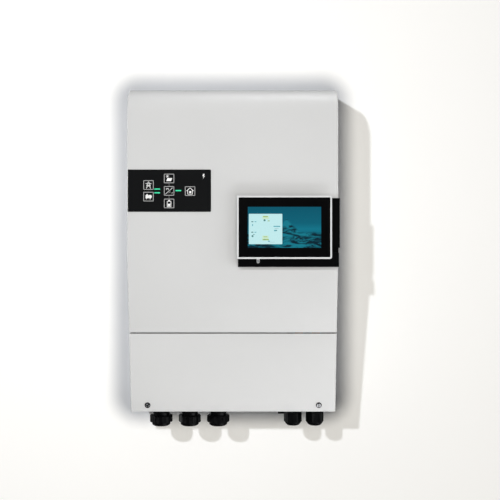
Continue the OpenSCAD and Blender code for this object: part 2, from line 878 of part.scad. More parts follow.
module display_frame() {
    color("lightgray") {
        difference() {
            front_solid(display_x, display_z, display_u0, display_u1)
                round_rect(display_w, display_h, 1.2, 4);
            front_solid(display_x, display_z, display_u0 - 1, display_u1 + 1)
                round_rect(display_w - 2 * rim, display_h - 2 * rim, 0.6, 1.5);
        }
        difference() {
            slab(tab_x - 3.5, tab_x + 3.5, display_u0, display_u0 + 1.5,
                tab_z - 5, display_z - display_h / 2 + 1);
            peg(tab_x, tab_z, display_u0 - 1, display_u0 + 3, 1.5 + fit);
        }
    }
}

module display_glass() {
    color([0.02, 0.02, 0.02]) front_solid(display_x, display_z, display_u0 + 1, display_u1 - 0.5)
        round_rect(display_w - 2 * rim, display_h - 2 * rim, 0.6, 1.5);
}

module display_housing() {
    x0 = 17;
    x1 = 201.5;
    z0 = ledge_z1 + 0.3;
    z1 = 98.5;
    u0 = bracket_u + bracket_t + 0.4;
    color("black") {
        difference() {
            slab(x0, x1, u0, display_u0, z0, z1);
            slab(x0 + 2, x1 - 2, u0 + 2, display_u0 + 1, z0 + 2, z1 - 2);
        }
        for (x = stud_xs) {
            peg(x, stud_z, bracket_u - 0.4, u0, 2);
            peg(x, stud_z, bracket_u - 3, bracket_u - 0.4, 4.2);
        }
    }
}

module display_lcd() {
    color("gray") slab(display_x - 82.5, display_x + 82.5, 243, display_u0 + 1, -13.4, 86.6);
}

module display_board() {
    color("darkgreen") slab(display_x - 75, display_x + 75, 238.4, 238.4 + board_t, 0, 80);
    color("silver") for (x = [40, 120]) slab(x, x + 30, 238.4 + board_t, 242, 20, 50);
}

module display_screw() {
    u0 = display_u0 + 1.5;
    color("silver") difference() {
        union() {
            peg(tab_x, tab_z, u0 + fit, u0 + 2, 2.9);
            peg(tab_x, tab_z, u0 - 9, u0 + 1, 1.5);
        }
        slab(tab_x - 0.5, tab_x + 0.5, u0 + 1.2, u0 + 3, tab_z - 3, tab_z + 3);
        slab(tab_x - 3, tab_x + 3, u0 + 1.2, u0 + 3, tab_z - 0.5, tab_z + 0.5);
    }
}

// ---------------------------------------------------------------- drawing

wall_plate();
hanger_rails();
wall_buffers();
chassis();
gland_plate();
upper_cover();
upper_cover_screws();
partition();
cover_gasket();
hinge_pins();
heat_sink();
fan_frames();
fan_guards();
fan_impeller(fan_xs[0]);  // fan_impeller_1
fan_impeller(fan_xs[1]);  // fan_impeller_2
fan_impeller(fan_xs[2]);  // fan_impeller_3
power_board();
power_modules();
dc_capacitors();
filter_chokes();
transformers();
relays();
control_board();
control_parts();
board_spacers();
led_panel();
led_board();
led_lamps();
dc_busbars();
battery_block();
battery_bolts();
ac_terminals();
pv_terminals();
clamp_screws();
earth_bar();
comm_board();
comm_jacks();
gland_bodies_m40();
gland_bodies_m32();
gland_locknuts();
gland_seals();
gland_nut(big_xs[0], big_gland, 4);  // gland_nut_1
gland_nut(big_xs[1], big_gland, -6);  // gland_nut_2
gland_nut(big_xs[2], big_gland, 5);  // gland_nut_3
gland_nut(small_xs[0], small_gland, -5);  // gland_nut_4
gland_nut(small_xs[1], small_gland, 6);  // gland_nut_5
signal_entry();
signal_grommets();
lower_cover();
screw_retainers();
cover_screw_left();
cover_screw_right();
display_bracket();
bracket_screws();
display_frame();
display_glass();
display_housing();
display_lcd();
display_board();
display_screw();
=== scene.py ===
"""Studio scene of a wall-mounted hybrid inverter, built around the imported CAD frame."""

import math

import bmesh
import bpy
from mathutils import Matrix, Vector


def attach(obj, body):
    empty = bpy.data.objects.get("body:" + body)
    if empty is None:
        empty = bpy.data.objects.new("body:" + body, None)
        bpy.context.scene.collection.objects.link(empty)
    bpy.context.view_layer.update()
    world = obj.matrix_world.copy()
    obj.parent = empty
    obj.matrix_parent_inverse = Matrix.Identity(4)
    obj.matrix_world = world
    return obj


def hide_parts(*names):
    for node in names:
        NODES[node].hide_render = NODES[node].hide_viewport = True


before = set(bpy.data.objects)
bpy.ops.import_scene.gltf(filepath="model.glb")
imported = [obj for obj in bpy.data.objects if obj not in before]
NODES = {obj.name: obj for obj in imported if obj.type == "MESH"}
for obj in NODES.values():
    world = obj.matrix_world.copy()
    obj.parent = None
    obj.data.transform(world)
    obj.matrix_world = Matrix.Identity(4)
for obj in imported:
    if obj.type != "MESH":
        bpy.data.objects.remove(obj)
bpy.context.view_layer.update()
MM = 0.001

# ------------------------------------------------------------------ case outline, in mm

HALF_W = 225.0
TOP_Z = 366.0
BOTTOM_Z = -366.0
DEPTH_TOP = 228.0
DEPTH_BOTTOM = 171.0
KNEE_Z = -26.0
KNEE_R = 500.0
TOP_SLOPE = math.radians(9.4)
TOP_R = 55.0
WALL_GAP = 14.0
LEAN = math.atan((DEPTH_TOP - DEPTH_BOTTOM) / (KNEE_Z - BOTTOM_Z))
CORNER_Z = TOP_Z - (DEPTH_TOP - WALL_GAP) * math.tan(TOP_SLOPE)
COVER_T = 1.6
EDGE_R = 2.6
UPPER_Z0 = -189.0
LOWER_Z1 = -191.5
LOCK_X, LOCK_Z = 188.0, -351.3
SKIRT = 4.0
EDGE_STEPS = 6
SLOT_PITCH, SLOT_HALF, SLOTS_EACH_SIDE = 14, 3, 14
SLOT_U0, SLOT_U1 = 28.0, 92.0

STATUS_X, STATUS_Z, STATUS_W, STATUS_H = -134.5, 115.5, 177.0, 90.0
GLASS_X, GLASS_Z, GLASS_W, GLASS_H = 109.3, 37.0, 192.5, 125.6
SCREEN_W, SCREEN_H = 153.9, 86.1
FRAME_W, FRAME_H = 199.7, 132.8
FRAME_U0, FRAME_U1 = 247.0, 251.5
TAB_X, TAB_Z0, TAB_Z1, TAB_W, TAB_T = 54.0, -38.4, -28.6, 6.2, 1.5
GLAND_U = 140.0
BIG_GLAND_X, BIG_GLAND_PITCH = -161.6, 63.7
SMALL_GLAND_X, SMALL_GLAND_PITCH = 132.7, 48.8


def face_u(z, t=0.0):
    """Distance of the leaning lower front from the wall at height z, t inside the face."""
    return DEPTH_TOP - (KNEE_Z - z) * math.tan(LEAN) - t / math.cos(LEAN)


def roof_z(u, t=0.0):
    """Height of the sloping top at distance u from the wall, t under its face."""
    return TOP_Z - (u - WALL_GAP) * math.tan(TOP_SLOPE) - t / math.cos(TOP_SLOPE)


def arc_points(cu, cz, r, a0, a1, steps):
    """Points of an arc in the side view with their outward normals."""
    made = []
    for i in range(steps + 1):
        a = a0 + (a1 - a0) * i / steps
        n = (math.cos(a), math.sin(a))
        made.append((cu + r * n[0], cz + r * n[1], n))
    return made


def side_path(z0, u0):
    """Outline of the front and top from height z0 up and back to distance u0."""
    lean_n = (math.cos(LEAN), -math.sin(LEAN))
    roof_n = (math.sin(TOP_SLOPE), math.cos(TOP_SLOPE))
    knee_c = KNEE_Z + KNEE_R * math.tan(LEAN / 2)
    top_c = CORNER_Z - TOP_R * math.tan((math.pi / 2 - TOP_SLOPE) / 2)
    path = [(face_u(z0), z0, lean_n)]
    path += arc_points(DEPTH_TOP - KNEE_R, knee_c, KNEE_R, -LEAN, 0, 14)
    path += arc_points(DEPTH_TOP - TOP_R, top_c, TOP_R, 0, math.pi / 2 - TOP_SLOPE, 28)
    for u in (SLOT_U1, SLOT_U0):
        if u > u0:
            path.append((u, roof_z(u), roof_n))
    path.append((u0, roof_z(u0), roof_n))
    return path


# ------------------------------------------------------------------ materials


class Nodes:
    """A material's node tree with short calls for what the finishes below need."""

    def __init__(self, name):
        self.material = bpy.data.materials.new(name)
        self.material.use_nodes = True
        self.tree = self.material.node_tree
        self.tree.nodes.clear()
        out = self.add("ShaderNodeOutputMaterial")
        self.shader = self.add("ShaderNodeBsdfPrincipled")
        self.link(self.shader.outputs[0], out.inputs[0])
        self.where = self.add("ShaderNodeTexCoord").outputs["Object"]

    def add(self, kind, **settings):
        node = self.tree.nodes.new(kind)
        for key, value in settings.items():
            setattr(node, key, value)
        return node

    def link(self, a, b):
        self.tree.links.new(a, b)

    def set(self, **values):
        for key, value in values.items():
            self.shader.inputs[key.replace("_", " ")].default_value = value

    def stretch(self, scale):
        """Object coordinates, scaled apart along the axes."""
        node = self.add("ShaderNodeMapping")
        self.link(self.where, node.inputs["Vector"])
        node.inputs["Scale"].default_value = scale
        return node.outputs[0]

    def noise(self, scale, detail=3.0, rough=0.5, vector=None, distortion=0.0):
        node = self.add("ShaderNodeTexNoise")
        node.inputs["Scale"].default_value = scale
        node.inputs["Detail"].default_value = detail
        node.inputs["Roughness"].default_value = rough
        node.inputs["Distortion"].default_value = distortion
        self.link(vector or self.where, node.inputs["Vector"])
        return node.outputs["Fac"]

    def span(self, value, low, high, low_in=0.3, high_in=0.7):
        """Maps a value from one range to another, clamped."""
        node = self.add("ShaderNodeMapRange")
        self.link(value, node.inputs["Value"])
        for key, number in (("From Min", low_in), ("From Max", high_in),
                            ("To Min", low), ("To Max", high)):
            node.inputs[key].default_value = number
        return node.outputs[0]

    def blend(self, value, a, b):
        """Mixes two colours, each a tuple or a socket."""
        node = self.add("ShaderNodeMix", data_type="RGBA")
        self.link(value, node.inputs["Factor"])
        for socket, colour in ((node.inputs[6], a), (node.inputs[7], b)):
            if isinstance(colour, tuple):
                socket.default_value = (*colour, 1.0)
            else:
                self.link(colour, socket)
        return node.outputs[2]

    def ramp(self, value, stops):
        """A colour ramp through (position, colour) stops."""
        node = self.add("ShaderNodeValToRGB")
        self.link(value, node.inputs[0])
        bar = node.color_ramp
        while len(bar.elements) < len(stops):
            bar.elements.new(0.5)
        for element, (place, colour) in zip(bar.elements, stops):
            element.position = place
            element.color = (*colour, 1.0)
        return node.outputs[0]

    def math(self, operation, a, b=None):
        """A math node on one or two values, each a number or a socket."""
        node = self.add("ShaderNodeMath", operation=operation)
        for socket, value in zip(node.inputs, (a, b)):
            if value is None:
                continue
            if isinstance(value, (int, float)):
                socket.default_value = value
            else:
                self.link(value, socket)
        return node.outputs[0]

    def bump(self, height, strength, distance):
        node = self.add("ShaderNodeBump")
        node.inputs["Strength"].default_value = strength
        node.inputs["Distance"].default_value = distance
        self.link(height, node.inputs["Height"])
        self.link(node.outputs[0], self.shader.inputs["Normal"])

    def colour(self, socket):
        self.link(socket, self.shader.inputs["Base Color"])

    def rough(self, socket):
        self.link(socket, self.shader.inputs["Roughness"])


def tinted(colour, amount):
    """The colour, lighter or darker by the given share."""
    return tuple(max(0.0, min(1.0, c * (1 + amount))) for c in colour)


def powder_coat(name, colour, rough=0.48, grain=900.0, depth=0.00006, spread=0.02, gloss=0.5):
    """Baked powder paint: fine orange peel, faint clouding, uneven gloss."""
    n = Nodes(name)
    n.set(Specular_IOR_Level=gloss)
    cloud = n.noise(5.0, 4.0, 0.55)
    speck = n.noise(grain * 0.7, 2.0, 0.5)
    shade = n.blend(n.span(cloud, 0.0, 1.0), tinted(colour, -spread), tinted(colour, spread))
    fine = n.blend(n.span(speck, 0.0, 0.16), shade, tinted(colour, -0.10))
    n.colour(fine)
    n.rough(n.span(n.noise(60.0, 3.0), rough - 0.05, rough + 0.06))
    n.bump(n.noise(grain, 3.0, 0.6), 0.55, depth)
    return n.material


def moulded_plastic(name, colour, rough=0.5, grain=1400.0, depth=0.00005, spread=0.12, gloss=0.5):
    """Moulded plastic with a spark-eroded grain and slightly rubbed gloss."""
    n = Nodes(name)
    n.set(Specular_IOR_Level=gloss)
    cloud = n.noise(30.0, 4.0, 0.6)
    n.colour(n.blend(n.span(cloud, 0.0, 1.0), tinted(colour, -spread), tinted(colour, spread)))
    n.rough(n.span(n.noise(120.0, 4.0, 0.6), rough - 0.1, rough + 0.1))
    n.bump(n.noise(grain, 4.0, 0.65), 0.6, depth)
    return n.material


def soft_rubber(name, colour):
    """Matt rubber with a little dust on it."""
    n = Nodes(name)
    dust = n.noise(160.0, 5.0, 0.7)
    n.colour(n.blend(n.span(dust, 0.0, 1.0), colour, tinted(colour, 0.6)))
    n.rough(n.span(n.noise(90.0, 3.0), 0.72, 0.9))
    n.bump(n.noise(1800.0, 3.0), 0.4, 0.00004)
    return n.material


def sheet_zinc(name, colour):
    """Zinc-coated sheet: spangle in the colour and in the gloss, rolling marks in the bump."""
    n = Nodes(name)
    n.set(Metallic=0.55)
    cells = n.add("ShaderNodeTexVoronoi")
    cells.inputs["Scale"].default_value = 190.0
    n.link(n.where, cells.inputs["Vector"])
    split = n.add("ShaderNodeSeparateColor")
    n.link(cells.outputs["Color"], split.inputs[0])
    n.colour(n.blend(split.outputs[0], tinted(colour, -0.05), tinted(colour, 0.05)))
    n.rough(n.span(split.outputs[1], 0.37, 0.43, 0.0, 1.0))
    n.bump(n.noise(300.0, 3.0, 0.5, n.stretch((1.0, 1.0, 0.08))), 0.25, 0.00004)
    return n.material


def turned_metal(name, colour, rough=0.3, metallic=1.0):
    """Plated steel with fine scratches and a clouded plating."""
    n = Nodes(name)
    n.set(Metallic=metallic)
    cloud = n.noise(220.0, 4.0, 0.6)
    n.colour(n.blend(n.span(cloud, 0.0, 1.0), tinted(colour, -0.12), tinted(colour, 0.10)))
    n.rough(n.span(n.noise(500.0, 4.0, 0.6), rough - 0.07, rough + 0.1))
    n.bump(n.noise(2600.0, 3.0, 0.5, n.stretch((1.0, 1.0, 0.2))), 0.3, 0.00002)
    return n.material


def extruded_metal(name, colour):
    """Extruded aluminium with die lines along Z."""
    n = Nodes(name)
    n.set(Metallic=1.0)
    lines = n.noise(900.0, 3.0, 0.5, n.stretch((1.0, 1.0, 0.01)))
    n.colour(n.blend(n.span(lines, 0.0, 1.0), tinted(colour, -0.12), tinted(colour, 0.06)))
    n.rough(n.span(n.noise(40.0, 3.0), 0.32, 0.5))
    n.bump(lines, 0.3, 0.00005)
    return n.material


def circuit_board(name, mask, track):
    """Solder mask with faint copper tracks running in blocks, and gold pads."""
    n = Nodes(name)
    blocks = n.add("ShaderNodeTexBrick")
    turned = n.add("ShaderNodeMapping")
    n.link(n.where, turned.inputs["Vector"])
    turned.inputs["Rotation"].default_value = (math.pi / 2, 0.0, 0.0)
    n.link(turned.outputs[0], blocks.inputs["Vector"])
    blocks.inputs["Scale"].default_value = 90.0
    blocks.inputs["Mortar Size"].default_value = 0.018
    blocks.inputs["Color1"].default_value = (*mask, 1.0)
    blocks.inputs["Color2"].default_value = (*tinted(mask, 0.18), 1.0)
    blocks.inputs["Mortar"].default_value = (*track, 1.0)
    pads = n.add("ShaderNodeTexVoronoi")
    pads.inputs["Scale"].default_value = 240.0
    n.link(n.where, pads.inputs["Vector"])
    dots = n.span(pads.outputs["Distance"], 1.0, 0.0, 0.10, 0.13)
    n.colour(n.blend(dots, blocks.outputs["Color"], (0.62, 0.58, 0.40)))
    n.rough(n.span(dots, 0.32, 0.42, 0.0, 1.0))
    n.bump(blocks.outputs["Fac"], 0.2, 0.00003)
    return n.material


def wound_wire(name, colour):
    """Enamelled wire wound round a ring, seen as fine bands."""
    n = Nodes(name)
    wave = n.add("ShaderNodeTexWave", wave_type="RINGS", rings_direction="SPHERICAL")
    wave.inputs["Scale"].default_value = 260.0
    wave.inputs["Distortion"].default_value = 1.5
    n.link(n.where, wave.inputs["Vector"])
    n.colour(n.blend(wave.outputs["Fac"], tinted(colour, -0.5), tinted(colour, 0.2)))
    n.rough(n.span(wave.outputs["Fac"], 0.45, 0.28, 0.0, 1.0))
    n.bump(wave.outputs["Fac"], 0.7, 0.0004)
    return n.material


def printed_film(name, colour):
    """Matt printed polyester film, charcoal with a fine weave of print dots."""
    n = Nodes(name)
    dots = n.noise(1500.0, 2.0, 0.5)
    cloud = n.noise(12.0, 3.0, 0.5)
    shade = n.blend(n.span(cloud, 0.0, 1.0), tinted(colour, -0.08), tinted(colour, 0.08))
    n.colour(n.blend(n.span(dots, 0.0, 0.5), shade, tinted(colour, 0.35)))
    n.rough(n.span(n.noise(200.0, 3.0), 0.40, 0.52))
    n.set(Specular_IOR_Level=0.07)
    n.bump(dots, 0.25, 0.00002)
    return n.material


def print_ink(name, colour, rough=0.55):
    """Screen-printed ink, slightly worn."""
    n = Nodes(name)
    wear = n.noise(900.0, 4.0, 0.7)
    n.colour(n.blend(n.span(wear, 0.0, 1.0), tinted(colour, -0.10), tinted(colour, 0.06)))
    n.rough(n.span(n.noise(400.0, 2.0), rough - 0.08, rough + 0.08))
    n.bump(wear, 0.2, 0.00001)
    return n.material


def lit_window(name, colour, strength):
    """Diffusing light window, its glow clouded at random."""
    n = Nodes(name)
    cloud = n.noise(500.0, 3.0, 0.6)
    shade = n.blend(n.span(cloud, 0.0, 1.0), tinted(colour, -0.25), tinted(colour, 0.15))
    n.colour(shade)
    n.link(shade, n.shader.inputs["Emission Color"])
    n.set(Emission_Strength=strength, Roughness=0.35)
    return n.material


def cover_glass(name):
    """Black printed glass: a near-black backing under a clear coat, with faint smears."""
    n = Nodes(name)
    smear = n.noise(14.0, 5.0, 0.65, n.stretch((1.0, 1.0, 0.45)), 0.6)
    n.colour(n.blend(n.span(smear, 0.0, 1.0), (0.0008, 0.0008, 0.001), (0.0018, 0.0018, 0.002)))
    n.rough(n.span(smear, 0.025, 0.06))
    n.set(Specular_IOR_Level=0.2)
    n.bump(n.noise(9.0, 2.0), 0.05, 0.0002)
    return n.material


def screen_picture(name):
    """Lit screen: a teal sky over dark rippled water, all generated."""
    n = Nodes(name)
    split = n.add("ShaderNodeSeparateXYZ")
    n.link(n.where, split.inputs[0])
    left = (GLASS_X - SCREEN_W / 2) * MM
    low = (GLASS_Z - SCREEN_H / 2) * MM
    across = n.math("DIVIDE", n.math("SUBTRACT", split.outputs[0], left), SCREEN_W * MM)
    up = n.math("DIVIDE", n.math("SUBTRACT", split.outputs[2], low), SCREEN_H * MM)
    sky = n.ramp(up, [
        (0.0, (0.0, 0.095, 0.150)), (0.34, (0.001, 0.140, 0.205)),
        (0.46, (0.003, 0.175, 0.250)), (0.60, (0.001, 0.120, 0.180)),
        (1.0, (0.0, 0.090, 0.142))])
    ripple = n.noise(26.0, 5.0, 0.62, n.stretch((1.0, 1.0, 3.4)), 1.4)
    water = n.blend(n.span(ripple, 0.0, 1.0, 0.44, 0.58), (0.0, 0.008, 0.016),
                    (0.006, 0.200, 0.265))
    # The water's edge falls from a low hill at the left towards the right
    hill = n.math("MULTIPLY", n.math("ABSOLUTE", n.math("SUBTRACT", across, 0.53)), 1.75)
    hill = n.math("MAXIMUM", n.math("SUBTRACT", 0.70, hill), 0.37)
    edge = n.math("ADD", hill, n.math("MULTIPLY", n.noise(60.0, 4.0, 0.6), 0.10))
    inside = n.span(n.math("SUBTRACT", edge, up), 0.0, 0.92, 0.02, 0.09)
    picture = n.blend(inside, sky, water)
    n.shader.inputs["Base Color"].default_value = (0.002, 0.004, 0.006, 1.0)
    n.link(picture, n.shader.inputs["Emission Color"])
    n.set(Emission_Strength=0.95, Roughness=0.12, Specular_IOR_Level=0.3)
    return n.material


def screen_ink(name, colour, strength=0.95):
    """Part of the lit picture with a little dither."""
    n = Nodes(name)
    grain = n.noise(700.0, 2.0, 0.5)
    shade = n.blend(n.span(grain, 0.0, 1.0), tinted(colour, -0.04), tinted(colour, 0.03))
    n.shader.inputs["Base Color"].default_value = (0.004, 0.006, 0.006, 1.0)
    n.link(shade, n.shader.inputs["Emission Color"])
    n.set(Emission_Strength=strength, Roughness=0.15, Specular_IOR_Level=0.3)
    return n.material


MAT = {
    "white": powder_coat("coat_white", (0.425, 0.425, 0.425)),
    "grey_panel": powder_coat("coat_grey", (0.40, 0.41, 0.42)),
    "black_coat": powder_coat("coat_black", (0.0012, 0.0012, 0.0013), 0.45, 1100.0, 0.00005, 0.15,
                              0.05),
    "silver": powder_coat("coat_silver", (0.47, 0.475, 0.48), 0.36, 1600.0, 0.00003),
    "zinc": sheet_zinc("zinc_sheet", (0.58, 0.60, 0.62)),
    "zinc_plate": sheet_zinc("zinc_plate", (0.36, 0.38, 0.40)),
    "screw": turned_metal("screw_zinc", (0.66, 0.67, 0.69)),
    "nickel": turned_metal("screw_nickel", (0.28, 0.28, 0.285), 0.32),
    "aluminium": extruded_metal("fin_aluminium", (0.66, 0.67, 0.68)),
    "copper": turned_metal("bare_copper", (0.72, 0.36, 0.20), 0.34),
    "brass": turned_metal("bare_brass", (0.76, 0.58, 0.26), 0.32),
    "black": moulded_plastic("plastic_black_and_painted_shade", (0.0012, 0.0012, 0.0014), 0.34, spread=0.2, gloss=0.08),
    "dark": moulded_plastic("plastic_dark", (0.035, 0.036, 0.038), 0.48),
    "grey": moulded_plastic("plastic_grey", (0.30, 0.31, 0.32), 0.45),
    "orange": moulded_plastic("plastic_orange", (0.80, 0.24, 0.02), 0.45),
    "nylon": moulded_plastic("plastic_nylon", (0.68, 0.63, 0.46), 0.5),
    "sleeve": moulded_plastic("sleeve_blue", (0.02, 0.03, 0.10), 0.3),
    "guide": lit_window("light_guide", (0.08, 0.55, 0.28), 0.2),
    "rubber": soft_rubber("rubber_black", (0.010, 0.010, 0.011)),
    "board": circuit_board("board_green", (0.006, 0.060, 0.030), (0.02, 0.13, 0.06)),
    "winding": wound_wire("wire_copper", (0.46, 0.16, 0.04)),
    "film": printed_film("film_charcoal", (0.0042, 0.0044, 0.0047)),
    "ink": print_ink("ink_white", (0.62, 0.62, 0.62)),
    "ink_box": print_ink("ink_box", (0.34, 0.34, 0.34)),
    "ink_dim": print_ink("ink_grey", (0.13, 0.13, 0.13)),
    "lamp": lit_window("lamp_green", (0.03, 0.42, 0.22), 0.55),
    "glass": cover_glass("glass_black"),
    "screen": screen_picture("screen_teal"),
    "card": screen_ink("screen_card", (0.56, 0.86, 0.88)),
    "mark_dark": screen_ink("screen_mark_dark", (0.10, 0.26, 0.26)),
    "mark_green": screen_ink("screen_mark_green", (0.34, 0.50, 0.16)),
    "mark_blue": screen_ink("screen_mark_blue", (0.12, 0.42, 0.50)),
    "mark_lime": screen_ink("screen_mark_lime", (0.62, 0.84, 0.62)),
    "mark_grey": screen_ink("screen_mark_grey", (0.42, 0.62, 0.66)),
}


# ------------------------------------------------------------------ mesh helpers


def to_world(x, u, z):
    """From mm to the right, in front of the wall and up, to metres in the shared frame."""
    return Vector((x * MM, -u * MM, z * MM))


def new_object(name, data):
    """An object for the data, placed in the scene."""
    obj = bpy.data.objects.new(name, data)
    bpy.context.scene.collection.objects.link(obj)
    return obj


def mesh_object(name, bm, material):
    """An object made of the bmesh, which is used up."""
    mesh = bpy.data.meshes.new(name)
    bm.to_mesh(mesh)
    bm.free()
    mesh.materials.append(material)
    return new_object(name, mesh)


def settle(obj, sharp_deg):
    """Applies obj's modifiers and shades it smooth up to the given angle."""
    bpy.context.view_layer.update()
    dg = bpy.context.evaluated_depsgraph_get()
    baked = bpy.data.meshes.new_from_object(obj.evaluated_get(dg))
    obj.modifiers.clear()
    old, obj.data = obj.data, baked
    bpy.data.meshes.remove(old)
    bm = bmesh.new()
    bm.from_mesh(obj.data)
    shade(bm, sharp_deg)
    bm.to_mesh(obj.data)
    bm.free()


def shade(bm, sharp_deg):
    """Smooth faces, with the edges over the given angle kept sharp."""
    limit = math.radians(sharp_deg)
    for f in bm.faces:
        f.smooth = True
    for e in bm.edges:
        e.smooth = len(e.link_faces) == 2 and e.calc_face_angle(0.0) < limit


def piece(name, bm, material, body, replaces=(), bevel=0.0, segments=2,
          sharp_deg=32.0, bevel_deg=35.0, thickness=0.0):
    """Turns a bmesh in metres into a finished piece that rides on a body."""
    bmesh.ops.remove_doubles(bm, verts=bm.verts, dist=1e-7)
    obj = mesh_object(name, bm, material)
    if thickness:
        m = obj.modifiers.new("wall", "SOLIDIFY")
        m.thickness, m.offset, m.use_even_offset = thickness * MM, -1.0, True
    if bevel:
        m = obj.modifiers.new("edge", "BEVEL")
        m.width, m.segments = bevel * MM, segments
        m.limit_method, m.angle_limit = "ANGLE", math.radians(bevel_deg)
        m.use_clamp_overlap = True
    settle(obj, sharp_deg)
    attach(obj, body)
    if replaces:
        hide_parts(*replaces)


def add_prism(bm, outline, u0, u1):
    """Flat outline of (x, z) points in mm, drawn out from distance u0 to u1."""
    back = [bm.verts.new(to_world(x, u0, z)) for x, z in outline]
    front = [bm.verts.new(to_world(x, u1, z)) for x, z in outline]
    count = len(outline)
    bm.faces.new(front)
    bm.faces.new(list(reversed(back)))
    for i in range(count):
        j = (i + 1) % count
        bm.faces.new((back[i], back[j], front[j], front[i]))
    bmesh.ops.recalc_face_normals(bm, faces=bm.faces)


def bridge(bm, loops):
    """Quads between closed loops of vertices, with the last loop joined to the first."""
    for k in range(len(loops)):
        a, b = loops[k], loops[(k + 1) % len(loops)]
        for i in range(len(a)):
            j = (i + 1) % len(a)
            bm.faces.new((a[i], a[j], b[j], b[i]))
    bmesh.ops.recalc_face_normals(bm, faces=bm.faces)


def add_turned(bm, profile, origin, axis, steps):
    """Revolves a closed (radius, height) profile in mm about an axis through origin."""
    axis = Vector(axis).normalized()
    side = axis.orthogonal().normalized()
    other = axis.cross(side)
    rings = []
    for i in range(steps):
        a = 2 * math.pi * i / steps
        out = side * math.cos(a) + other * math.sin(a)
        rings.append([bm.verts.new(origin + out * (r * MM) + axis * (h * MM))
                      for r, h in profile])
    count = len(profile)
    for i in range(steps):
        a, b = rings[i], rings[(i + 1) % steps]
        for k in range(count):
            m = (k + 1) % count
            if profile[k][0] < 1e-6 and profile[m][0] < 1e-6:
                continue
            bm.faces.new((a[k], b[k], b[m], a[m]))
    bmesh.ops.remove_doubles(bm, verts=bm.verts, dist=1e-8)
    bmesh.ops.recalc_face_normals(bm, faces=bm.faces)


def round_outline(cx, cz, w, h, radii, steps=8):
    """Rectangle with rounded corners; radii run lower left, lower right, upper right, upper left."""
    corners = [(-1, -1, math.pi), (1, -1, -math.pi / 2), (1, 1, 0.0), (-1, 1, math.pi / 2)]
    made = []
    for (sx, sz, a0), r in zip(corners, radii):
        px, pz = cx + sx * (w / 2 - r), cz + sz * (h / 2 - r)
        for i in range(steps + 1):
            a = a0 + math.pi / 2 * i / steps
            made.append((px + r * math.cos(a), pz + r * math.sin(a)))
    return made


def polyline_stroke(points, width, closed=False):
    """Quads that draw a line of the given width through (x, z) points."""
    quads = []
    ends = list(zip(points, points[1:] + (points[:1] if closed else [])))
    for (x0, z0), (x1, z1) in ends[:len(points) if closed else len(points) - 1]:
        dx, dz = x1 - x0, z1 - z0
        length = math.hypot(dx, dz) or 1.0
        tx, tz = dx / length * width / 2, dz / length * width / 2
        quads.append([(x0 - tx - tz, z0 - tz + tx), (x1 + tx - tz, z1 + tz + tx),
                      (x1 + tx + tz, z1 + tz - tx), (x0 - tx + tz, z0 - tz - tx)])
    return quads


# ------------------------------------------------------------------ covers


def front_row(columns):
    """(x, depth under the face) across a cover's front and its two rounded vertical edges."""
    angles = [math.pi / 2 * i / EDGE_STEPS for i in range(1, EDGE_STEPS + 1)]
    side = HALF_W - EDGE_R
    bend = [(side + EDGE_R * math.sin(a), EDGE_R * (1 - math.cos(a))) for a in angles]
    return [(-x, t) for x, t in reversed(bend)] + [(x, 0.0) for x in columns] + bend


def join_rows(bm, rows):
    """Quads between each row of vertices and the next."""
    for a, b in zip(rows, rows[1:]):
        for i in range(len(a) - 1):
            bm.faces.new((a[i], a[i + 1], b[i + 1], b[i]))


def face_forwards(bm):
    """Turns all normals the same way, out of the cover."""
    bmesh.ops.recalc_face_normals(bm, faces=bm.faces)
    front = max(bm.faces, key=lambda f: f.calc_area() if abs(f.normal.y) > 0.8 else 0.0)
    if front.normal.y > 0:
        bmesh.ops.reverse_faces(bm, faces=bm.faces)


def upper_surface(path, columns):
    """Outer skin of the upper cover: front and top in one strip, and two flat sides."""
    bm = bmesh.new()
    rows = [[bm.verts.new(to_world(x, u - nu * t, z - nz * t)) for x, t in front_row(columns)]
            for u, z, (nu, nz) in path]
    join_rows(bm, rows)
    back = path[-1][0]
    for side, index in ((-1, 0), (1, -1)):
        rim = [row[index] for row in rows]
        foot = bm.verts.new(to_world(side * HALF_W, back, path[0][1]))
        bm.faces.new(rim + [foot])
    face_forwards(bm)
    return bm


def lower_surface(path, columns):
    """Outer skin of the lower cover, whose flat sides run back to the wall."""
    bm = bmesh.new()
    rows = []
    for u, z, (nu, nz) in path:
        verts = [bm.verts.new(to_world(-HALF_W, WALL_GAP - SKIRT, z))]
        verts += [bm.verts.new(to_world(x, u - nu * t, z - nz * t)) for x, t in front_row(columns)]
        verts.append(bm.verts.new(to_world(HALF_W, WALL_GAP - SKIRT, z)))
        rows.append(verts)
    join_rows(bm, rows)
    face_forwards(bm)
    return bm


def cut(bm, point, normal):
    """Drops what lies beyond the plane, on the side its normal points to."""
    geom = bm.verts[:] + bm.edges[:] + bm.faces[:]
    bmesh.ops.bisect_plane(bm, geom=geom, plane_co=point, plane_no=normal, clear_outer=True)


def drop_faces(bm, inside):
    """Deletes the faces whose middle passes the test, given in mm."""
    gone = []
    for f in bm.faces:
        c = f.calc_center_median() / MM
        if inside(c.x, -c.y, c.z):
            gone.append(f)
    bmesh.ops.delete(bm, geom=gone, context="FACES")


